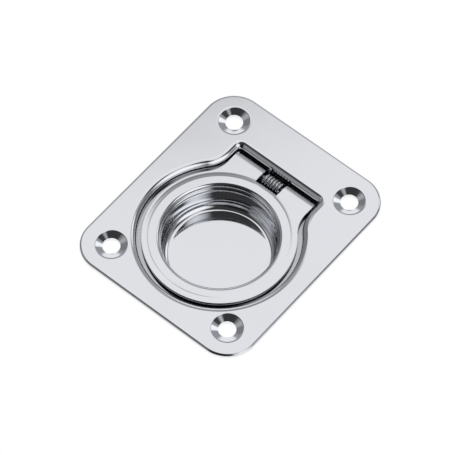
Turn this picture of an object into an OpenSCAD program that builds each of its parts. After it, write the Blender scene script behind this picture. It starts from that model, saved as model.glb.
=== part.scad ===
// Flush ring-pull lift handle: a pressed base with a keyhole recess and a finger cup,
// a stamped ring handle rolled round a hinge pin, and a torsion spring that holds the ring down.
// +X runs along the hinge pin, +Y towards the hinge end, +Z out of the panel.
// The origin is the centre of the screw pattern, on the flange's mounting face.

/* [Flange] */
// Width of the flange, along the pin
flange_w = 64; // [60:0.5:80]
// Length of the flange, across the pin
flange_l = 76; // [72:0.5:100]
// Corner radius of the flange
flange_corner_r = 10; // [6:0.5:14]
// Thickness of the pressed sheet
sheet_t = 1.2; // [0.8:0.1:1.2]
// Rounding of the flange's upper edge
edge_r = 0.9; // [0.4:0.1:0.9]

/* [Screw holes] */
// Hole spacing along the pin
hole_spacing_x = 44.5; // [42:0.5:50]
// Hole spacing across the pin
hole_spacing_y = 56.8; // [56:0.2:64]
// Diameter of a screw hole
hole_d = 5.4; // [4:0.1:6]
// Diameter of the countersunk dimple at the flange's face
dimple_d = 10.4; // [9.5:0.1:11.5]
// Slope of the countersunk dimple
dimple_slope = 26; // [15:1:40]
// Bend radius at the mouth of the dimple
dimple_bend_r = 1.4; // [1.3:0.1:1.8]

/* [Recess] */
// Distance of the ring's centre from the screw pattern's centre, away from the hinge
ring_offset = 5.3; // [4:0.1:8]
// Running gap round the ring
ring_gap = 1.4; // [0.6:0.1:1.8]
// Running gap beside the tab
tab_gap = 0.4; // [0.3:0.1:1.6]
// Running gap between the rolled tab and the far wall
far_gap = 0.4; // [0.3:0.1:1.5]
// Radius of the shoulder that leads from the flange into the recess
shoulder_r = 2.1; // [1.8:0.1:2.6]
// Corner radius of the hinge pocket
pocket_corner_r = 1; // [0.8:0.1:1.2]
// Radius of the neck between the hinge pocket and the round recess
neck_r = 12; // [8:0.5:16]
// Gap between the ring's lip and the ledge under it
ledge_gap = 0.1; // [0.05:0.05:0.5]
// Step by which the hinge pocket narrows below the ledge
pocket_step = 0.1; // [0.05:0.05:0.15]
// Gap between the rolled tab and the pocket's floor
pocket_floor_gap = 0.6; // [0.3:0.1:2]

/* [Cup] */
// Depth of the cup's floor below the flange's face
cup_depth = 11.4; // [9:0.2:16]
// How far the cup's wall stands inside the ring's opening
cup_inset = 0.3; // [0.1:0.1:1]
// Radius of the cup's mouth
cup_mouth_r = 1.3; // [1.3:0.1:1.6]
// Radius between the cup's wall and floor
cup_foot_r = 2.5; // [1.5:0.5:6]

/* [Handle] */
// Outer diameter of the ring
ring_d = 46.4; // [44:0.2:50]
// Diameter of the finger opening
opening_d = 35.2; // [32:0.2:37]
// Depth of the handle's face below the flange's face
face_drop = 1.2; // [0.8:0.1:1.8]
// Thickness of the handle's sheet
handle_t = 1.2; // [1:0.1:1.2]
// Radius of the lip that is turned down round the opening
lip_r = 1.3; // [1.3:0.1:1.6]
// Depth of the turned-down lip below the handle's face
lip_depth = 1.6; // [1.4:0.1:2]
// Height of the raised band round the opening
band_h = 0.2; // [0.1:0.05:0.3]
// Diameter of the raised band's upper edge
band_d = 42; // [40:0.2:43]
// Width of the hollow flank outside the raised band
band_flank = 1.5; // [0.8:0.1:1.6]
// Width of the tab, along the pin
tab_w = 29.8; // [26:0.2:32]
// Radius of the neck between tab and ring
tab_neck_r = 10.5; // [8:0.5:11.5]

/* [Hinge] */
// Distance of the pin from the ring's centre
pin_reach = 25.2; // [24.6:0.2:27]
// Diameter of the hinge pin
pin_d = 2.5; // [2:0.1:3]
// Radial clearance between the pin and the rolled tab
pin_clearance = 0.06; // [0.02:0.01:0.1]
// Radial clearance between the pin and its holes in the base
pin_hole_clearance = 0.05; // [0.02:0.01:0.1]
// Diameter of the pin's peened heads
pin_head_d = 3; // [2.8:0.1:3.2]
// Height of a peened head
pin_head_h = 0.7; // [0.4:0.1:1]
// Gap between the pin's heads and the base, on each side
pin_end_play = 0.05; // [0.03:0.01:0.1]
// How far the tab is rolled round the pin, in degrees
roll_angle = 262; // [220:1:268]

/* [Spring] */
// Width of the slot that shows the spring
slot_w = 8.1; // [7.8:0.1:9]
// Outer radius of the slot's turned-down edge
slot_lip_r = 1.8; // [1.6:0.1:2]
// Gap between the slot's turned-down edge and the spring
slot_gap = 0.25; // [0.2:0.05:0.4]
// Diameter of the spring's wire
wire_d = 1; // [0.8:0.05:1.05]
// Gap between the pin and the spring
coil_clearance = 0.15; // [0.1:0.05:0.2]
// Pitch of the coil
coil_pitch = 1.1; // [1.07:0.01:1.12]
// Lean of the fixed leg towards the far wall, in degrees
leg_lean = 15; // [0:1:15]
// Length of the leg that bears on the far wall
fixed_leg_l = 3.7; // [2.5:0.1:4]
// Length of the leg that bears on the slot's turned-down edge
moving_leg_l = 2.3; // [1.5:0.1:2.4]

/* [Hidden] */
$fn = 96;

// Heights, from the mounting face at zero
face_z = sheet_t;
handle_z = face_z - face_drop;
lip_z = handle_z - lip_depth;
ledge_z = lip_z - ledge_gap;
cup_z = face_z - cup_depth;
shoulder_z = face_z - shoulder_r;

// Hinge
bore_r = pin_d / 2 + pin_clearance;
roll_r = bore_r + handle_t;
ring_y = -ring_offset;
pin_y = ring_y + pin_reach;
pin_z = handle_z - roll_r;
pocket_z = pin_z - roll_r - pocket_floor_gap;

// Handle
ring_r = ring_d / 2;
opening_r = opening_d / 2;
tab_neck_x = tab_w / 2 + tab_neck_r;
tab_neck_y = ring_y + sqrt(pow(ring_r + tab_neck_r, 2) - tab_neck_x * tab_neck_x);

// Plan of the keyhole recess, at the face of its wall
recess_r = ring_r + ring_gap;
pocket_w = tab_w + 2 * tab_gap;
pocket_y = pin_y + roll_r + far_gap;
pan_w = pocket_w - 2 * pocket_step;
neck_x = pocket_w / 2 + neck_r;
neck_y = ring_y + sqrt(pow(recess_r + neck_r, 2) - neck_x * neck_x);
// The neck's end planes, rounded so that every piece that meets there is cut alike
neck_cut_y = round(neck_y * 1000) / 1000;
neck_cut_x = round(neck_x * (neck_cut_y - ring_y) / (neck_y - ring_y) * 1000) / 1000;

// Spring
wire_r = wire_d / 2;
coil_r = pin_d / 2 + coil_clearance + wire_r;
coil_top_y = pin_y - coil_r - wire_r;
slot_y = coil_top_y - slot_gap;
slot_bend_y = slot_y - slot_lip_r;
coil_turns = floor((slot_w - wire_d - 0.2) / coil_pitch);
coil_sweep = 360 * coil_turns + 180 - leg_lean;
coil_steps = 20 * coil_turns;
wire_sides = 10;

// The hinge pocket's near wall stands clear of the slot's turned-down edge
pocket_near_y = slot_y - handle_t - 1.1;

// Cup
cup_r = opening_r - cup_inset;

// A bent length of sheet, seen on its edge: a quarter, turned by a whole number of quarters
module bend(r_out, t, quarter) {
    rotate(90 * quarter) intersection() {
        difference() {
            circle(r = r_out);
            circle(r = r_out - t);
        }
        square(r_out * 2);
    }
}

// A move in two steps, whole millimetres first, which keeps more digits of the second
module at_fine(x, y) {
    translate([floor(x), floor(y), 0]) translate([x - floor(x), y - floor(y), 0]) children();
}

// Plan of the space between the two sides of the neck, from the ring's centre outwards
module neck_wedge(end_y) {
    polygon([[0, ring_y],
             [neck_cut_x, neck_cut_y],
             [neck_cut_x - 0.1, end_y],
             [0.1 - neck_cut_x, end_y],
             [-neck_cut_x, neck_cut_y]]);
}

// Plan of the keyhole recess, grown outwards by s
module keyhole(s) {
    w = pocket_w / 2;
    translate([0, ring_y]) circle(r = recess_r + s);
    difference() {
        neck_wedge(neck_cut_y);
        at_fine(neck_x, neck_y) circle(r = neck_r - s);
        mirror([1, 0]) at_fine(neck_x, neck_y) circle(r = neck_r - s);
    }
    translate([-w - s, neck_cut_y])
        square([2 * (w + s), pocket_y - pocket_corner_r - neck_cut_y]);
    translate([-w + pocket_corner_r, neck_cut_y])
        square([2 * (w - pocket_corner_r), pocket_y + s - neck_cut_y]);
    for (side = [-1, 1])
        translate([side * (w - pocket_corner_r), pocket_y - pocket_corner_r])
            circle(r = pocket_corner_r + s);
}

// Section of the pressed wall, with x outwards from its face: shoulder and wall
module wall_section() {
    bottom = ledge_z - sheet_t;
    translate([shoulder_r, shoulder_z]) bend(shoulder_r, sheet_t, 1);
    translate([0, bottom]) square([sheet_t, shoulder_z - bottom]);
}

module neck_wall() {
    intersection() {
        at_fine(neck_x, neck_y) rotate_extrude() translate([neck_r, 0]) mirror([1, 0])
            wall_section();
        translate([0, 0, -20]) linear_extrude(40) neck_wedge(neck_cut_y);
    }
}

module pocket_wall() {
    x = pocket_w / 2;
    y = pocket_y - pocket_corner_r;
    translate([x, y, 0]) rotate([90, 0, 0]) linear_extrude(y - neck_cut_y) wall_section();
    translate([x - pocket_corner_r, y])
        rotate_extrude(angle = 90) translate([pocket_corner_r, 0]) wall_section();
}

// The sheet's bend from the flange into the recess, and the recess's wall
module recess_wall() {
    difference() {
        translate([0, ring_y, 0]) rotate_extrude() translate([recess_r, 0]) wall_section();
        translate([0, 0, -20]) linear_extrude(40) neck_wedge(flange_l);
    }
    neck_wall();
    mirror([1, 0, 0]) neck_wall();
    pocket_wall();
    mirror([1, 0, 0]) pocket_wall();
    translate([pocket_corner_r - pocket_w / 2, pocket_y, 0]) rotate([90, 0, 90])
        linear_extrude(pocket_w - 2 * pocket_corner_r) wall_section();
}

module flange_outline(s) {
    w = flange_w + 2 * s;
    l = flange_l + 2 * s;
    r = flange_corner_r + s;
    square([w - 2 * r, l], center = true);
    square([w, l - 2 * r], center = true);
    for (x = [-1, 1], y = [-1, 1])
        translate([x * (w / 2 - r), y * (l / 2 - r)]) circle(r = r);
}

// Section of the flange's rounded edge, with x outwards from where the rounding starts
module edge_section() {
    square([edge_r, sheet_t - edge_r]);
    translate([0, sheet_t - edge_r]) intersection() {
        circle(r = edge_r);
        square(edge_r);
    }
}

module flange_edge() {
    x = flange_w / 2 - flange_corner_r;
    y = flange_l / 2 - flange_corner_r;
    corner = [[x, y], [-x, y], [-x, -y], [x, -y]];
    for (i = [0:3]) {
        translate(corner[i]) rotate([0, 0, 90 * i])
            rotate_extrude(angle = 90) translate([flange_corner_r - edge_r, 0]) edge_section();
    }
    for (turn = [0, 180]) rotate([0, 0, turn]) {
        translate([flange_w / 2 - edge_r, y, 0]) rotate([90, 0, 0])
            linear_extrude(2 * y) edge_section();
        translate([-x, flange_l / 2 - edge_r, 0]) rotate([90, 0, 90])
            linear_extrude(2 * x) edge_section();
    }
}

module at_holes() {
    for (x = [-1, 1], y = [-1, 1])
        translate([x * hole_spacing_x / 2, y * hole_spacing_y / 2, 0]) children();
}

// A countersunk dimple pressed into the sheet
module dimple() {
    mouth_r = dimple_d / 2;
    turn = [sin(dimple_slope), cos(dimple_slope)];
    bend_end = [mouth_r - dimple_bend_r * turn[0],
                face_z - dimple_bend_r * (1 - turn[1])];
    fall = (bend_end[0] - hole_d / 2) * tan(dimple_slope);
    rotate_extrude() {
        translate([mouth_r, face_z - dimple_bend_r]) intersection() {
            difference() {
                circle(r = dimple_bend_r);
                circle(r = dimple_bend_r - sheet_t);
            }
            polygon([[0, 0], [0, 2], [-2 * turn[0], 2 * turn[1]]]);
        }
        polygon([bend_end,
                 [hole_d / 2, bend_end[1] - fall],
                 [hole_d / 2, bend_end[1] - fall - sheet_t / turn[1]],
                 bend_end + sheet_t * [turn[0], -turn[1]]]);
    }
}

module cup() {
    foot_x = cup_r - cup_foot_r;
    translate([0, ring_y, 0]) rotate_extrude() {
        translate([cup_r + cup_mouth_r, ledge_z - cup_mouth_r])
            bend(cup_mouth_r, sheet_t, 1);
        translate([cup_r, cup_z + cup_foot_r])
            square([sheet_t, ledge_z - cup_mouth_r - cup_z - cup_foot_r]);
        translate([foot_x, cup_z + cup_foot_r])
            bend(cup_foot_r + sheet_t, sheet_t, 3);
        translate([0, cup_z - sheet_t]) square([foot_x, sheet_t]);
    }
}

// Plan of the hinge pocket below the ledge, grown outwards by s
module pocket_plan(s) {
    r = pocket_corner_r - pocket_step + s;
    w = pan_w + 2 * s;
    y0 = pocket_near_y - s;
    l = pocket_y - pocket_step + s - y0;
    translate([r - w / 2, y0]) square([w - 2 * r, l]);
    translate([-w / 2, y0 + r]) square([w, l - 2 * r]);
    for (x = [-1, 1], y = [y0 + r, y0 + l - r]) translate([x * (w / 2 - r), y]) circle(r = r);
}

module pocket() {
    translate([0, 0, pocket_z]) linear_extrude(ledge_z - sheet_t - pocket_z) difference() {
        pocket_plan(sheet_t);
        pocket_plan(0);
    }
    translate([0, 0, pocket_z - sheet_t]) linear_extrude(sheet_t) pocket_plan(sheet_t);
}

module ledge() {
    translate([0, 0, ledge_z - sheet_t]) linear_extrude(sheet_t) difference() {
        keyhole(0);
        translate([0, ring_y]) circle(r = cup_r + cup_mouth_r);
        pocket_plan(0);
    }
}

module flange() {
    linear_extrude(sheet_t) difference() {
        flange_outline(-edge_r);
        keyhole(shoulder_r);
        at_holes() circle(d = dimple_d);
    }
    flange_edge();
    at_holes() dimple();
}

module base_plate() {
    color("gainsboro") difference() {
        union() {
            flange();
            recess_wall();
            ledge();
            pocket();
            cup();
        }
        translate([0, pin_y, pin_z]) rotate([0, 90, 0])
            cylinder(r = pin_d / 2 + pin_hole_clearance, h = flange_w, center = true);
    }
}

// Section of the ring, with its raised band and its turned-down lip
module ring_section() {
    top = handle_z + band_h;
    band_x = opening_r + lip_r;
    flank_r = (band_flank * band_flank + band_h * band_h) / (2 * band_h);
    translate([band_x, top - lip_r]) bend(lip_r, handle_t, 1);
    translate([opening_r, lip_z]) square([handle_t, top - lip_r - lip_z]);
    translate([band_x, top - handle_t]) square([band_d / 2 - band_x, handle_t]);
    difference() {
        polygon([[band_d / 2, handle_z - handle_t],
                 [ring_r, handle_z - handle_t],
                 [ring_r, handle_z],
                 [band_d / 2 + band_flank, handle_z],
                 [band_d / 2, top]]);
        translate([band_d / 2 + band_flank, handle_z + flank_r]) circle(r = flank_r);
    }
}

// Plan of the tab between the ring and the slot's turned-down edge
module tab_plan() {
    difference() {
        polygon([[0, ring_y],
                 [tab_neck_x, tab_neck_y],
                 [tab_w / 2, tab_neck_y],
                 [tab_w / 2, slot_bend_y],
                 [-tab_w / 2, slot_bend_y],
                 [-tab_w / 2, tab_neck_y],
                 [-tab_neck_x, tab_neck_y]]);
        translate([0, ring_y]) circle(r = ring_r - 0.4);
        for (side = [0, 1]) mirror([side, 0]) translate([tab_neck_x, tab_neck_y])
            circle(r = tab_neck_r);
    }
}

// Section of a knuckle, with x towards the far wall and the pin's axis at the origin
module knuckle_section() {
    translate([slot_bend_y - pin_y, roll_r - handle_t])
        square([pin_y - slot_bend_y, handle_t]);
    difference() {
        circle(r = roll_r);
        circle(r = bore_r);
        translate([-roll_r * 2, 0]) square(roll_r * 2);
        polygon([[0, 0],
                 [-roll_r * 2, 0],
                 [-roll_r * 2, -roll_r * 2 * tan(270 - roll_angle)]]);
    }
}

// Ring and flat of the tab, open where the slot shows the spring
module handle_sheet() {
    difference() {
        union() {
            translate([0, ring_y, 0]) rotate_extrude() ring_section();
            translate([0, 0, handle_z - handle_t]) linear_extrude(handle_t) tab_plan();
        }
        translate([-slot_w / 2, slot_bend_y, lip_z - 1])
            cube([slot_w, ring_r, lip_depth + band_h + 2]);
    }
}

module knuckles() {
    knuckle_w = (tab_w - slot_w) / 2;
    for (x = [-tab_w / 2, slot_w / 2])
        translate([x, pin_y, pin_z]) rotate([90, 0, 90])
            linear_extrude(knuckle_w) knuckle_section();
}

// The slot's near edge, turned down in front of the spring
module slot_lip() {
    translate([-slot_w / 2, slot_bend_y, handle_z + band_h - slot_lip_r]) rotate([90, 0, 90])
        linear_extrude(slot_w) bend(slot_lip_r, handle_t, 0);
}

module ring_handle() {
    color("lightgray") {
        handle_sheet();
        knuckles();
        slot_lip();
    }
}

module hinge_pin() {
    half = pocket_w / 2 + sheet_t + pin_end_play;
    color("silver") translate([0, pin_y, pin_z]) rotate([0, 90, 0]) {
        cylinder(d = pin_d, h = 2 * half, center = true);
        for (z = [-half - pin_head_h, half]) translate([0, 0, z])
            cylinder(d = pin_head_d, h = pin_head_h);
    }
}

// The spring's centre line round the pin, from the fixed leg's end to the moving leg's end.
// Each point is [place, outward direction], in the pin's frame: x, towards the far wall, up.
function leg_point(x, a, reach) =
    [[x, coil_r * cos(a) - reach * sin(a), coil_r * sin(a) + reach * cos(a)],
     [0, cos(a), sin(a)]];
spring_x = coil_pitch * coil_turns / 2;
spring_path = concat(
    [leg_point(-spring_x, -leg_lean, fixed_leg_l), leg_point(-spring_x, -leg_lean, 0.3)],
    [for (i = [0:coil_steps])
        let (a = -leg_lean - i / coil_steps * coil_sweep)
        [[-spring_x + 2 * spring_x * i / coil_steps, coil_r * cos(a), coil_r * sin(a)],
         [0, cos(a), sin(a)]]],
    [leg_point(spring_x, 180, -0.3), leg_point(spring_x, 180, -moving_leg_l)]);

function unit(v) = v / norm(v);
function tangent(i) =
    unit(spring_path[min(i + 1, len(spring_path) - 1)][0] - spring_path[max(i - 1, 0)][0]);
function wire_ring(i) =
    let (t = tangent(i),
         out = spring_path[i][1],
         n = unit(out - (out * t) * t),
         b = cross(t, n))
    [for (k = [0:wire_sides - 1])
        spring_path[i][0] + wire_r * (cos(k * 360 / wire_sides) * n + sin(k * 360 / wire_sides) * b)];

module torsion_spring() {
    last = len(spring_path) - 1;
    points = [for (i = [0:last]) each wire_ring(i)];
    sides = [for (i = [0:last - 1], k = [0:wire_sides - 1])
        let (k2 = (k + 1) % wire_sides)
        [i * wire_sides + k, i * wire_sides + k2, (i + 1) * wire_sides + k2,
         (i + 1) * wire_sides + k]];
    start = [for (k = [wire_sides - 1:-1:0]) k];
    end = [for (k = [0:wire_sides - 1]) last * wire_sides + k];
    color("dimgray") translate([0, pin_y, pin_z])
        polyhedron(points, concat([start], sides, [end]));
}

base_plate();
ring_handle();
hinge_pin();
torsion_spring();
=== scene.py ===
"""Looks of the flush ring-pull lift handle: polished steel on a plain pale stage.

The sheet pieces and the spring are rebuilt here as finely divided meshes with the CAD's
own dimensions, because a mirror finish shows every facet of a coarse one.
"""

import math

import bmesh
import bpy
from mathutils import Matrix, Vector, geometry


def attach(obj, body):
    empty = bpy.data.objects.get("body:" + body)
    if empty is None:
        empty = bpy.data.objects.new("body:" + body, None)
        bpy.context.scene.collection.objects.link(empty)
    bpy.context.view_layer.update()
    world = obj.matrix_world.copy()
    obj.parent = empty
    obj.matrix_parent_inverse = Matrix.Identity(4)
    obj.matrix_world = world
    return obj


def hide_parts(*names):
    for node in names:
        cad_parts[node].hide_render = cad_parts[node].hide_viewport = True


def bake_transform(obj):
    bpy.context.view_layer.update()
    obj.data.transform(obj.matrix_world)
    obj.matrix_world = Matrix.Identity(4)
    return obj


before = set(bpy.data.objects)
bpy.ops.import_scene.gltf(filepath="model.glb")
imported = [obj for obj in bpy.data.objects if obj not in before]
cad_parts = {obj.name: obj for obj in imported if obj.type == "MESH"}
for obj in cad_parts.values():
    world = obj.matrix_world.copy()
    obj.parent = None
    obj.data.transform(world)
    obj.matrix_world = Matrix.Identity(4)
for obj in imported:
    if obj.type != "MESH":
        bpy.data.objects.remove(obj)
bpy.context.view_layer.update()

MM = 0.001
QUARTER = math.pi / 2

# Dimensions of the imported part, in millimetres
SHEET = 1.2
FACE_Z = 1.2
FLANGE_W, FLANGE_L, CORNER_R, EDGE_R = 64.0, 76.0, 10.0, 0.9
HOLE_X, HOLE_Y, HOLE_R = 22.25, 28.4, 2.7
DIMPLE_R, DIMPLE_BEND, DIMPLE_SLOPE = 5.2, 1.4, math.radians(26)
RING_Y = -5.3
RECESS_R, SHOULDER_R = 24.6, 2.1
POCKET_X, POCKET_Y, POCKET_CORNER = 15.3, 22.8, 1.0
POCKET_NEAR_Y, POCKET_STEP, POCKET_Z = 14.95, 0.1, -5.62
NECK_R = 12.0
LEDGE_Z = -1.7
CUP_R, CUP_MOUTH, CUP_FOOT, CUP_Z = 17.3, 1.3, 2.5, -10.2
RING_R, OPENING_R = 23.2, 17.6
LIP_R, LIP_Z = 1.3, -1.6
BAND_R, BAND_H, FLANK = 21.0, 0.2, 1.5
TAB_X, TAB_NECK_R, TAB_END_Y = 14.9, 10.5, 17.4
PIN_Y, PIN_Z = 19.9, -2.51
ROLL_R, ROLL_ANGLE = 2.51, math.radians(262)
SLOT_X, SLOT_Y, SLOT_LIP_R = 4.05, 17.25, 1.8
COIL_R, WIRE_R, COIL_TURNS, COIL_PITCH = 1.9, 0.5, 6, 1.1
LONG_LEG, SHORT_LEG, LEG_LEAN = 3.7, 2.3, math.radians(15)

NECK_X = POCKET_X + NECK_R
NECK_Y = RING_Y + math.sqrt((RECESS_R + NECK_R) ** 2 - NECK_X**2)
NECK_TURN = math.atan2(NECK_Y - RING_Y, NECK_X)
TAB_NECK_X = TAB_X + TAB_NECK_R
TAB_NECK_Y = RING_Y + math.sqrt((RING_R + TAB_NECK_R) ** 2 - TAB_NECK_X**2)
TAB_NECK_TURN = math.atan2(TAB_NECK_Y - RING_Y, TAB_NECK_X)

# Mesh margins, in millimetres: flat strips beside the bends, which keep the bends'
# shading off the flats, and the ease of the sheet's cut edges
SEAM, SLIM_STRIP, MID_STRIP, WIDE_STRIP, RIM_STRIP = 0.05, 0.1, 0.12, 0.15, 0.2
EASE, CORNER_EASE, LIP_EASE, SLOT_EASE = 0.1, 0.03, 0.08, 0.05
SAME_POINT, FILL_POINT, WELD = 1e-6, 1e-7, 1e-5
SHARP_ANGLE = math.radians(32)

# Sides and steps of the round meshes
HOLE_SIDES, CUP_SIDES, RING_SIDES, WIRE_SIDES = 96, 192, 240, 14
FLANK_STEPS, ROLL_STEPS, SLOT_LIP_STEPS = 8, 52, 16
TURN_STEPS, LONG_LEG_STEPS, SHORT_LEG_STEPS = 40, 6, 4
CUP_FLOOR_RINGS = (8.0, 4.0, 1.0)
DOME_ANGLES = (0.0, 0.5, 0.95, 1.3)

# The photograph's camera, as found from the flange's outline and the four holes
VIEW_AZIMUTH, VIEW_ELEVATION = math.radians(39.763), math.radians(58.261)
VIEW_DISTANCE, VIEW_TARGET = 1.0372, (0.000453, -0.002061, FACE_Z * MM)
FOCAL_PIXELS, PHOTO_PIXELS, SENSOR_MM = 3505.7, 455.0, 36.0

FLOOR_HALF, FLOOR_GAP = 3.0, 0.0002

# A soft studio of broad lamps and dark cloths round a grey room. Each row is azimuth
# from straight ahead of the viewer (to the right is positive), angle from the zenith,
# radius, softness of the edge, all in degrees, and colour.
ROOM = (0.315, 0.325, 0.34)
STUDIO = [
    (-6, 14, 30, 8, (0.875, 0.87, 0.892)),
    (-4, 41.9, 7, 3, (0.24, 0.242, 0.251)),
    (-141, 55, 56, 4, (0.04, 0.04, 0.042)),
    (-81, 55, 33, 5, (0.05, 0.051, 0.052)),
    (-84, 86, 52, 3, (0.21, 0.212, 0.219)),
    (-110, 94, 8, 6, (0.74, 0.747, 0.773)),
    (-1, 91, 22, 6, (0.88, 0.889, 0.92)),
    (81, 77, 23, 7, (0.18, 0.182, 0.188)),
    (-73, 47, 8, 6, (0.41, 0.414, 0.428)),
    (153, 89, 13, 8, (0.4, 0.404, 0.418)),
    (-149, 67, 23, 9, (0.01, 0.01, 0.01)),
    (-117, 64, 10, 4, (0.30, 0.303, 0.312)),
    (93, 36, 11, 4, (0.05, 0.051, 0.052)),
    (54, 55, 9, 4, (1.04, 1.05, 1.09)),
    (134, 55, 24, 8, (1.04, 1.05, 1.09)),
]


# Plan outlines: lists of (point, outward normal)
def arc(cx, cy, r, a0, a1, n, sign=1.0):
    """Stations along an arc; sign -1 turns the normals towards its centre."""
    out = []
    for i in range(n + 1):
        a = a0 + (a1 - a0) * i / n
        c, s = math.cos(a), math.sin(a)
        out.append(((cx + r * c, cy + r * s), (sign * c, sign * s)))
    return out


def line(p, q, normal, n):
    """Stations along a straight run."""
    return [
        ((p[0] + (q[0] - p[0]) * i / n, p[1] + (q[1] - p[1]) * i / n), normal)
        for i in range(n + 1)
    ]


def mirrored(stations):
    """The same stations beyond the plane of symmetry, walked backwards."""
    return [((-p[0], p[1]), (-n[0], n[1])) for p, n in reversed(stations)]


def joined(*pieces):
    """One path from several, without the points that repeat."""
    out = []
    for piece in pieces:
        for p, n in piece:
            if out and math.dist(out[-1][0], p) < SAME_POINT:
                continue
            out.append((p, n))
    if math.dist(out[0][0], out[-1][0]) < SAME_POINT:
        out.pop()
    return out


def keyhole():
    """The recess's wall face, anticlockwise from the middle of its near side."""
    corner_x, corner_y = POCKET_X - POCKET_CORNER, POCKET_Y - POCKET_CORNER
    half = joined(
        arc(0, RING_Y, RECESS_R, -QUARTER, NECK_TURN, n=110),
        arc(NECK_X, NECK_Y, NECK_R, math.pi + NECK_TURN, math.pi, n=36, sign=-1.0),
        line((POCKET_X, NECK_Y), (POCKET_X, corner_y), (1.0, 0.0), n=4),
        arc(corner_x, corner_y, POCKET_CORNER, 0, QUARTER, n=20),
        line((corner_x, POCKET_Y), (0, POCKET_Y), (0.0, 1.0), n=16),
    )
    return joined(half, mirrored(half))


def rounded_rectangle(w, l, r, n):
    """Anticlockwise from the +X side."""
    x, y = w / 2 - r, l / 2 - r
    corners = enumerate(((x, y), (-x, y), (-x, -y), (x, -y)))
    return joined(
        *[arc(cx, cy, r, i * QUARTER, (i + 1) * QUARTER, n) for i, (cx, cy) in corners]
    )


def circle(cx, cy, r, n):
    """Stations round a full circle."""
    return arc(cx, cy, r, 0, 2 * math.pi, n)[:-1]


def offset(stations, u):
    """The stations' points, moved outwards by u."""
    return [(p[0] + n[0] * u, p[1] + n[1] * u) for p, n in stations]


# Profiles: lists of (offset, height)
def bend(cu, cz, r, a0, a1, n):
    """Profile points along an arc about (cu, cz)."""
    angles = [a0 + (a1 - a0) * i / n for i in range(n + 1)]
    return [(cu + r * math.cos(a), cz + r * math.sin(a)) for a in angles]


class Solid:
    """Collects the faces of one piece, in millimetres."""

    def __init__(self):
        self.bm = bmesh.new()

    def row(self, points, z=None):
        """New vertices at 3-D points, or at plan points on the height z."""
        if z is not None:
            points = [(p[0], p[1], z) for p in points]
        return [self.bm.verts.new(p) for p in points]

    def bridge(self, a, b, closed=True):
        """Quads between two rows of the same length."""
        n = len(a)
        for i in range(n if closed else n - 1):
            j = (i + 1) % n
            self.bm.faces.new((a[i], a[j], b[j], b[i]))

    def bridge_all(self, rows, closed=True):
        """Quads between each row and the next; returns the rows."""
        for a, b in zip(rows, rows[1:]):
            self.bridge(a, b, closed)
        return rows

    def sweep(self, stations, profile, closed=True):
        """Carries a profile of (offset, height) along plan stations."""
        rows = [self.row(offset(stations, u), z) for u, z in profile]
        return self.bridge_all(rows, closed)

    def lathe(self, cx, cy, profile, n):
        """Turns a profile of (radius, height) round a vertical axis."""
        unit = circle(cx, cy, 1.0, n)
        return self.bridge_all([self.row(offset(unit, r - 1.0), z) for r, z in profile])

    def cap(self, row):
        """One face over a closed row."""
        self.bm.faces.new(row)

    def fill(self, loops):
        """Triangulates the flat region between an outer loop and the loops in it."""
        tests = [inside([(v.co.x, v.co.y) for v in loop]) for loop in loops]
        verts = [v for loop in loops for v in loop]
        edges = []
        start = 0
        for loop in loops:
            n = len(loop)
            edges += [(start + i, start + (i + 1) % n) for i in range(n)]
            start += n
        flat = [Vector((v.co.x, v.co.y)) for v in verts]
        fill = geometry.delaunay_2d_cdt(flat, edges, [], 0, FILL_POINT)
        out, _, faces, orig, _, _ = fill
        for f in faces:
            cx = sum(out[i].x for i in f) / 3
            cy = sum(out[i].y for i in f) / 3
            if sum(test(cx, cy) for test in tests) % 2 == 0:
                continue
            corner = [verts[orig[i][0]] for i in f if orig[i]]
            if len(set(corner)) == 3:
                self.bm.faces.new(corner)

    def weld(self):
        """Merges the vertices that rows share and turns every face outwards."""
        bmesh.ops.remove_doubles(self.bm, verts=self.bm.verts, dist=WELD)
        bmesh.ops.recalc_face_normals(self.bm, faces=self.bm.faces)

    def finish(self, name, material, body, stands_for=()):
        """Makes the object, in metres."""
        self.weld()
        mesh = bpy.data.meshes.new(name)
        bmesh.ops.scale(self.bm, vec=(MM, MM, MM), verts=self.bm.verts)
        self.bm.to_mesh(mesh)
        self.bm.free()
        mesh.shade_smooth()
        mesh.set_sharp_from_angle(angle=SHARP_ANGLE)
        mesh.materials.append(material)
        piece = bpy.data.objects.new(name, mesh)
        bpy.context.scene.collection.objects.link(piece)
        if body:
            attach(piece, body)
        if stands_for:
            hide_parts(*stands_for)
        return piece


def inside(loop):
    """A test for points inside a closed plan loop."""

    def test(x, y):
        hit = False
        for (x1, y1), (x2, y2) in zip(loop, loop[1:] + loop[:1]):
            if (y1 > y) != (y2 > y) and x < (x2 - x1) * (y - y1) / (y2 - y1) + x1:
                hit = not hit
        return hit

    return test


# Materials
def add_node(nodes, kind, values=None):
    """A new node with the given values on its inputs."""
    node = nodes.new(kind)
    for socket, value in (values or {}).items():
        node.inputs[socket].default_value = value
    return node


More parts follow.
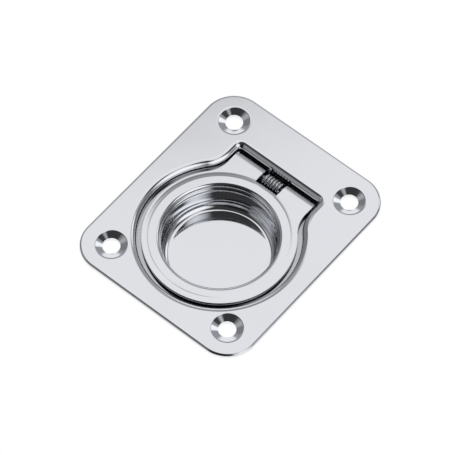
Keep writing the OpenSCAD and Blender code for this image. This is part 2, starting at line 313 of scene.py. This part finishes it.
def polished_steel(name, color, roughness, wave, scratch):
    """Bright stainless steel, faintly uneven.

    wave is the depth of the pressed sheet's unevenness and scratch that of the
    polishing lines, both in metres.
    """
    mat = bpy.data.materials.new(name)
    mat.use_nodes = True
    nodes, links = mat.node_tree.nodes, mat.node_tree.links
    shader = nodes["Principled BSDF"]
    shader.inputs["Metallic"].default_value = 1.0
    place = nodes.new("ShaderNodeTexCoord")
    cloud = add_node(nodes, "ShaderNodeTexNoise", {"Scale": 55.0, "Detail": 1.0})
    links.new(place.outputs["Object"], cloud.inputs["Vector"])
    dull = [c * 0.965 for c in color]
    tones = {"Color1": (*color, 1), "Color2": (*dull, 1)}
    tone = add_node(nodes, "ShaderNodeMixRGB", tones)
    links.new(cloud.outputs["Fac"], tone.inputs["Fac"])

    # painted shade: the base colour is darkened by ambient occlusion in the narrow gaps
    # between the pieces
    gap_occlusion = add_node(nodes, "ShaderNodeAmbientOcclusion", {"Distance": 0.0016})
    gap_occlusion.samples = 8
    shade_range = {"From Min": 0.35, "From Max": 0.85, "To Min": 0.35, "To Max": 1.0}
    shade = add_node(nodes, "ShaderNodeMapRange", shade_range)
    links.new(gap_occlusion.outputs["AO"], shade.inputs["Value"])
    # the painted shade multiplies the base colour
    painted_gap_shade = add_node(nodes, "ShaderNodeMixRGB", {"Fac": 1.0})
    painted_gap_shade.blend_type = "MULTIPLY"
    links.new(tone.outputs["Color"], painted_gap_shade.inputs["Color1"])
    links.new(shade.outputs["Result"], painted_gap_shade.inputs["Color2"])
    links.new(painted_gap_shade.outputs["Color"], shader.inputs["Base Color"])

    # fine polishing lines
    stretch = add_node(nodes, "ShaderNodeMapping", {"Scale": (1.0, 14.0, 1.0)})
    links.new(place.outputs["Object"], stretch.inputs["Vector"])
    grain = add_node(nodes, "ShaderNodeTexNoise", {"Scale": 900.0, "Detail": 3.0})
    links.new(stretch.outputs["Vector"], grain.inputs["Vector"])
    rough_range = {"To Min": roughness * 0.75, "To Max": roughness * 1.25}
    rough = add_node(nodes, "ShaderNodeMapRange", rough_range)
    links.new(grain.outputs["Fac"], rough.inputs["Value"])
    links.new(rough.outputs["Result"], shader.inputs["Roughness"])

    swell = add_node(nodes, "ShaderNodeBump", {"Strength": 1.0, "Distance": wave})
    links.new(cloud.outputs["Fac"], swell.inputs["Height"])
    fine = add_node(nodes, "ShaderNodeBump", {"Strength": 1.0, "Distance": scratch})
    links.new(grain.outputs["Fac"], fine.inputs["Height"])
    links.new(swell.outputs["Normal"], fine.inputs["Normal"])
    links.new(fine.outputs["Normal"], shader.inputs["Normal"])
    return mat


SHEET_COLOR = (0.86, 0.87, 0.89)
base_steel = polished_steel(
    "pressed_steel", SHEET_COLOR, roughness=0.06, wave=2e-5, scratch=0.0
)
handle_steel = polished_steel(
    "handle_steel", SHEET_COLOR, roughness=0.06, wave=1e-5, scratch=0.0
)
pin_steel = polished_steel(
    "pin_steel", (0.70, 0.71, 0.73), roughness=0.25, wave=0.0, scratch=2e-6
)
wire_steel = polished_steel(
    "wire_steel", (0.62, 0.62, 0.64), roughness=0.22, wave=0.0, scratch=2e-6
)


def pocket_plan(grow):
    """Plan points of the hinge pocket's wall, moved outwards by grow."""
    far_y = POCKET_Y - POCKET_STEP
    rim = rounded_rectangle(
        2 * (POCKET_X - POCKET_STEP),
        far_y - POCKET_NEAR_Y,
        POCKET_CORNER - POCKET_STEP,
        n=10,
    )
    mid = (far_y + POCKET_NEAR_Y) / 2
    return [(x, y + mid) for x, y in offset(rim, grow)]


def make_base():
    """The pressed base: flange, dimples, keyhole recess, cup and hinge pocket."""
    solid = Solid()

    # rolled shoulder and the recess's wall, upper face and lower face
    hole = keyhole()
    bend_z = FACE_Z - SHOULDER_R
    upper = [(SHOULDER_R + SEAM, FACE_Z)]
    upper += bend(SHOULDER_R, bend_z, SHOULDER_R, QUARTER, math.pi, n=20)
    upper += [(0.0, bend_z - WIDE_STRIP), (0.0, LEDGE_Z)]
    top_rows = solid.sweep(hole, upper)
    lower = [(SHOULDER_R + SEAM, 0.0)]
    lower += bend(SHOULDER_R, bend_z, SHOULDER_R - SHEET, QUARTER, math.pi, n=12)
    lower += [(SHEET, bend_z - WIDE_STRIP), (SHEET, LEDGE_Z - SHEET)]
    low_rows = solid.sweep(hole, lower)

    # outer edge
    rim = rounded_rectangle(FLANGE_W, FLANGE_L, CORNER_R, n=28)
    edge = [(-EDGE_R - WIDE_STRIP, FACE_Z)]
    edge += bend(-EDGE_R, FACE_Z - EDGE_R, EDGE_R, QUARTER, 0.0, n=10)
    edge += [(0.0, 0.0), (-WIDE_STRIP, 0.0)]
    edge_rows = solid.sweep(rim, edge)

    # dimpled screw holes
    s, c = math.sin(DIMPLE_SLOPE), math.cos(DIMPLE_SLOPE)
    slope_start = QUARTER + DIMPLE_SLOPE
    dimple = [(DIMPLE_R + SEAM, FACE_Z)]
    dimple += bend(
        DIMPLE_R, FACE_Z - DIMPLE_BEND, DIMPLE_BEND, QUARTER, slope_start, n=8
    )
    r, z = dimple[-1]
    hole_z = z - (r - HOLE_R) * s / c
    dimple += [(r - SLIM_STRIP * c, z - SLIM_STRIP * s)]
    dimple += [(HOLE_R + MID_STRIP * c, hole_z + MID_STRIP * s), (HOLE_R, hole_z)]
    dimple += [(HOLE_R, hole_z - SHEET / c), (r + SHEET * s, z - SHEET * c)]
    dimple += [(DIMPLE_R, 0.0), (DIMPLE_R + SEAM, 0.0)]
    tops, bottoms = [], []
    for x in (-HOLE_X, HOLE_X):
        for y in (-HOLE_Y, HOLE_Y):
            rows = solid.lathe(x, y, dimple, HOLE_SIDES)
            tops.append(rows[0])
            bottoms.append(rows[-1])

    solid.fill([edge_rows[0], top_rows[0]] + tops)
    solid.fill([edge_rows[-1], low_rows[0]] + bottoms)

    # finger cup, upper face and lower face
    mouth_r, mouth_z = CUP_R + CUP_MOUTH, LEDGE_Z - CUP_MOUTH
    foot_r, foot_z = CUP_R - CUP_FOOT, CUP_Z + CUP_FOOT
    cup = [(mouth_r + WIDE_STRIP, LEDGE_Z)]
    cup += bend(mouth_r, mouth_z, CUP_MOUTH, QUARTER, math.pi, n=12)
    cup += [(CUP_R, mouth_z - WIDE_STRIP), (CUP_R, foot_z + WIDE_STRIP)]
    cup += bend(foot_r, foot_z, CUP_FOOT, 0.0, -QUARTER, n=24)
    cup += [(r, CUP_Z) for r in (foot_r - WIDE_STRIP, *CUP_FLOOR_RINGS)]
    rows = solid.lathe(0, RING_Y, cup, CUP_SIDES)
    solid.cap(rows[-1])
    cup_top = rows[0]
    cup = [(CUP_R + SHEET, LEDGE_Z - SHEET), (CUP_R + SHEET, foot_z)]
    cup += bend(foot_r, foot_z, CUP_FOOT + SHEET, 0.0, -QUARTER, n=24)[1:]
    cup += [(r, CUP_Z - SHEET) for r in (foot_r - WIDE_STRIP, CUP_FLOOR_RINGS[-1])]
    rows = solid.lathe(0, RING_Y, cup, CUP_SIDES)
    solid.cap(rows[-1])
    cup_low = rows[0]

    # hinge pocket below the ledge, upper face and lower face
    pockets = []
    for thick in (0.0, SHEET):
        top = solid.row(pocket_plan(thick), LEDGE_Z - thick)
        floor = solid.row(pocket_plan(thick), POCKET_Z - thick)
        solid.bridge(top, floor)
        solid.cap(floor)
        pockets.append(top)

    solid.fill([top_rows[-1], cup_top, pockets[0]])
    solid.fill([low_rows[-1], cup_low, pockets[1]])
    return solid.finish("polished_base", base_steel, "base", ["base_plate"])


def strap(solid, x0, x1, path, ease):
    """Sheet from x0 to x1, along a path of (y, z, up_y, up_z) on its upper face."""
    section = [
        (x0 + ease, 0),
        (x1 - ease, 0),
        (x1, ease),
        (x1, SHEET - ease),
        (x1 - ease, SHEET),
        (x0 + ease, SHEET),
        (x0, SHEET - ease),
        (x0, ease),
    ]
    rows = []
    for y, z, ny, nz in path:
        rows.append(solid.row([(x, y - ny * d, z - nz * d) for x, d in section]))
    solid.bridge_all(rows)
    solid.cap(rows[0])
    solid.cap(rows[-1])


def cut_slot(solid, y0, length=8.0, height=6.0):
    """Cuts the spring's slot, from y0 onwards, out of the sheet made so far."""
    solid.weld()
    sheet = bpy.data.objects.new("sheet", bpy.data.meshes.new("sheet"))
    solid.bm.to_mesh(sheet.data)
    box = bpy.data.objects.new("slot", bpy.data.meshes.new("slot"))
    cutter = bmesh.new()
    span = Matrix.Diagonal((2 * SLOT_X, length, height, 1.0))
    middle = Matrix.Translation((0, y0 + length / 2, 0))
    bmesh.ops.create_cube(cutter, size=1.0, matrix=middle @ span)
    cutter.to_mesh(box.data)
    cutter.free()
    for obj in (sheet, box):
        bpy.context.scene.collection.objects.link(obj)
    cut = sheet.modifiers.new("slot", "BOOLEAN")
    cut.operation = "DIFFERENCE"
    cut.object = box
    cut.solver = "EXACT"
    graph = bpy.context.evaluated_depsgraph_get()
    solid.bm.clear()
    solid.bm.from_mesh(sheet.evaluated_get(graph).to_mesh())
    for obj in (sheet, box):
        bpy.data.objects.remove(obj)


def make_handle():
    """The stamped handle: ring, raised band, turned-down lip, tab and knuckles."""
    solid = Solid()
    t = SHEET
    slot_start = SLOT_Y - SLOT_LIP_R

    # ring, with its raised band and turned-down lip
    band_x = OPENING_R + LIP_R
    foot_r = BAND_R + FLANK + SLIM_STRIP
    flank_r = (FLANK**2 + BAND_H**2) / (2 * BAND_H)
    ring = [(foot_r, 0.0)]
    for i in range(FLANK_STEPS + 1):
        u = FLANK * (1 - i / FLANK_STEPS)
        ring.append((BAND_R + u, flank_r - math.sqrt(flank_r**2 - (FLANK - u) ** 2)))
    ring += [(BAND_R - MID_STRIP, BAND_H), (band_x + MID_STRIP, BAND_H)]
    ring += bend(band_x, BAND_H - LIP_R, LIP_R, QUARTER, math.pi, n=16)
    ring += [(OPENING_R, LIP_Z + LIP_EASE), (OPENING_R + LIP_EASE, LIP_Z)]
    ring += [(OPENING_R + t, LIP_Z), (OPENING_R + t, BAND_H - t - SLIM_STRIP)]
    ring += [(band_x, BAND_H - t), (BAND_R, BAND_H - t), (BAND_R, -t), (foot_r, -t)]
    rows = solid.lathe(0, RING_Y, ring, RING_SIDES)
    ring_top, ring_low = rows[0], rows[-1]

    # flat outer zone and the start of the tab
    neck_end = math.pi + TAB_NECK_TURN
    half = joined(
        arc(0, RING_Y, RING_R, -QUARTER, TAB_NECK_TURN, n=120),
        arc(TAB_NECK_X, TAB_NECK_Y, TAB_NECK_R, neck_end, math.pi, n=40, sign=-1.0),
        line((TAB_X, TAB_NECK_Y), (TAB_X, TAB_END_Y), (1.0, 0.0), n=2),
    )
    path = mirrored(half)[:-1] + half
    edge = [(-RIM_STRIP, 0.0), (-EASE, 0.0), (-CORNER_EASE, -CORNER_EASE), (0.0, -EASE)]
    edge += [(0.0, EASE - t), (-EASE, -t), (-RIM_STRIP, -t)]
    rows = solid.sweep(path, edge, closed=False)
    solid.fill([rows[0], ring_top])
    solid.fill([rows[-1], ring_low])
    solid.cap([row[0] for row in rows] + [row[-1] for row in reversed(rows)])
    cut_slot(solid, slot_start)

    # knuckles rolled round the pin
    roll = [(TAB_END_Y, 0.0, 0.0, 1.0), (PIN_Y - SLIM_STRIP, 0.0, 0.0, 1.0)]
    for i in range(ROLL_STEPS + 1):
        a = QUARTER - ROLL_ANGLE * i / ROLL_STEPS
        c, s = math.cos(a), math.sin(a)
        roll.append((PIN_Y + ROLL_R * c, PIN_Z + ROLL_R * s, c, s))
    strap(solid, -TAB_X, -SLOT_X, roll, EASE)
    strap(solid, SLOT_X, TAB_X, roll, EASE)

    # the slot's turned-down edge
    lip = []
    for i in range(SLOT_LIP_STEPS + 1):
        a = QUARTER * (1 - i / SLOT_LIP_STEPS)
        c, s = math.cos(a), math.sin(a)
        lip.append((slot_start + SLOT_LIP_R * c, BAND_H + SLOT_LIP_R * (s - 1), c, s))
    strap(solid, -SLOT_X, SLOT_X, lip, SLOT_EASE)
    return solid.finish("polished_handle", handle_steel, "handle", ["ring_handle"])


def tube(solid, path, radius):
    """A round wire along a path of points, with domed ends."""
    pts = [Vector(p) for p in path]

    def dome(tip, inner):
        t = (tip - inner).normalized()
        return [
            (tip - radius * (1 - math.sin(a)) * t, radius * math.cos(a))
            for a in DOME_ANGLES
        ]

    rings = dome(pts[0], pts[1])[::-1] + [(p, radius) for p in pts[1:-1]]
    rings += dome(pts[-1], pts[-2])
    turns = [2 * math.pi * k / WIRE_SIDES for k in range(WIRE_SIDES)]
    rows = []
    side = None
    for i, (p, r) in enumerate(rings):
        before, after = rings[max(i - 1, 0)][0], rings[min(i + 1, len(rings) - 1)][0]
        t = (after - before).normalized()
        if side is None:
            side = t.orthogonal().normalized()
        side = (side - side.dot(t) * t).normalized()
        up = t.cross(side)
        rows.append(
            solid.row([p + r * (math.cos(a) * side + math.sin(a) * up) for a in turns])
        )
    solid.bridge_all(rows)
    solid.cap(rows[0])
    solid.cap(rows[-1])


def make_spring():
    """The wound spring on the pin, with a leg at each end."""
    solid = Solid()
    x_end = COIL_PITCH * COIL_TURNS / 2

    def at(x, a, reach):
        """A point of the coil at the angle a, or past it along the tangent."""
        return (
            x,
            PIN_Y + COIL_R * math.cos(a) - reach * math.sin(a),
            PIN_Z + COIL_R * math.sin(a) + reach * math.cos(a),
        )

    path = []
    for i in range(LONG_LEG_STEPS):
        path.append(at(-x_end, -LEG_LEAN, LONG_LEG * (1 - i / LONG_LEG_STEPS)))
    sweep = 2 * math.pi * COIL_TURNS + math.pi - LEG_LEAN
    steps = TURN_STEPS * COIL_TURNS
    for i in range(steps + 1):
        path.append(
            at(-x_end + 2 * x_end * i / steps, -LEG_LEAN - sweep * i / steps, 0.0)
        )
    for i in range(1, SHORT_LEG_STEPS + 1):
        path.append(at(x_end, math.pi, -SHORT_LEG * i / SHORT_LEG_STEPS))
    tube(solid, path, WIRE_R)
    piece = solid.finish("wound_spring", wire_steel, None)
    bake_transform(piece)
    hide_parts("torsion_spring")
    return piece


def make_floor():
    """A pale floor below the cup, plain white to the camera and in reflections."""
    z = (CUP_Z - SHEET) * MM - FLOOR_GAP
    corners = ((-1, -1), (1, -1), (1, 1), (-1, 1))
    mesh = bpy.data.meshes.new("floor")
    mesh.from_pydata(
        [(x * FLOOR_HALF, y * FLOOR_HALF, z) for x, y in corners], [], [(0, 1, 2, 3)]
    )
    floor = bpy.data.objects.new("floor", mesh)
    bpy.context.scene.collection.objects.link(floor)
    paper = bpy.data.materials.new("pale_floor")
    paper.use_nodes = True
    nodes, links = paper.node_tree.nodes, paper.node_tree.links
    nodes.clear()
    out = nodes.new("ShaderNodeOutputMaterial")
    matte = add_node(nodes, "ShaderNodeBsdfDiffuse", {"Color": (0.9, 0.9, 0.9, 1)})
    glow = add_node(nodes, "ShaderNodeEmission", {"Strength": 1.0})
    both = nodes.new("ShaderNodeMixShader")
    ray = nodes.new("ShaderNodeLightPath")
    seen = ray.outputs["Is Camera Ray"]
    for kind in ("Is Glossy Ray", "Is Transmission Ray"):
        either = nodes.new("ShaderNodeMath")
        either.operation = "MAXIMUM"
        links.new(seen, either.inputs[0])
        links.new(ray.outputs[kind], either.inputs[1])
        seen = either.outputs["Value"]
    links.new(seen, both.inputs["Fac"])
    links.new(matte.outputs["BSDF"], both.inputs[1])
    links.new(glow.outputs["Emission"], both.inputs[2])
    links.new(both.outputs["Shader"], out.inputs["Surface"])
    mesh.materials.append(paper)


def light_studio():
    """Layers the studio's lamps and cloths over the room's grey, first row lowest."""
    world = bpy.data.worlds.new("studio")
    bpy.context.scene.world = world
    world.use_nodes = True
    nodes, links = world.node_tree.nodes, world.node_tree.links
    nodes.clear()
    out = nodes.new("ShaderNodeOutputWorld")
    back = nodes.new("ShaderNodeBackground")
    place = nodes.new("ShaderNodeTexCoord")
    links.new(back.outputs["Background"], out.inputs["Surface"])
    room = nodes.new("ShaderNodeRGB")
    room.outputs[0].default_value = (*ROOM, 1)
    tone = room.outputs[0]
    for azimuth, zenith, radius, soft, color in STUDIO:
        a, z = VIEW_AZIMUTH - math.radians(azimuth) + QUARTER, math.radians(zenith)
        along = nodes.new("ShaderNodeVectorMath")
        along.operation = "DOT_PRODUCT"
        along.inputs[1].default_value = (
            math.cos(a) * math.sin(z),
            math.sin(a) * math.sin(z),
            math.cos(z),
        )
        links.new(place.outputs["Generated"], along.inputs[0])
        outer, inner = math.radians(radius + soft), math.radians(radius - soft)
        edge_range = {"From Min": math.cos(outer), "From Max": math.cos(inner)}
        edge = add_node(nodes, "ShaderNodeMapRange", edge_range)
        edge.interpolation_type = "SMOOTHSTEP"
        links.new(along.outputs["Value"], edge.inputs["Value"])
        layer = add_node(nodes, "ShaderNodeMixRGB", {"Color2": (*color, 1)})
        links.new(edge.outputs["Result"], layer.inputs["Fac"])
        links.new(tone, layer.inputs["Color1"])
        tone = layer.outputs["Color"]
    links.new(tone, back.inputs["Color"])


def place_camera():
    """The camera, at the photograph's viewing angle."""
    towards = Vector(
        (
            math.sin(VIEW_AZIMUTH) * math.cos(VIEW_ELEVATION),
            -math.cos(VIEW_AZIMUTH) * math.cos(VIEW_ELEVATION),
            math.sin(VIEW_ELEVATION),
        )
    )
    data = bpy.data.cameras.new("camera")
    data.sensor_width = SENSOR_MM
    data.lens = FOCAL_PIXELS * SENSOR_MM / PHOTO_PIXELS
    camera = bpy.data.objects.new("camera", data)
    camera.location = Vector(VIEW_TARGET) + VIEW_DISTANCE * towards
    camera.rotation_euler = towards.to_track_quat("Z", "Y").to_euler()
    bpy.context.scene.collection.objects.link(camera)
    bpy.context.scene.camera = camera


base = make_base()
handle = make_handle()
spring = make_spring()
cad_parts["hinge_pin"].data.materials.clear()
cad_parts["hinge_pin"].data.materials.append(pin_steel)

make_floor()
light_studio()
place_camera()

scene = bpy.context.scene
scene.view_settings.view_transform = "Standard"
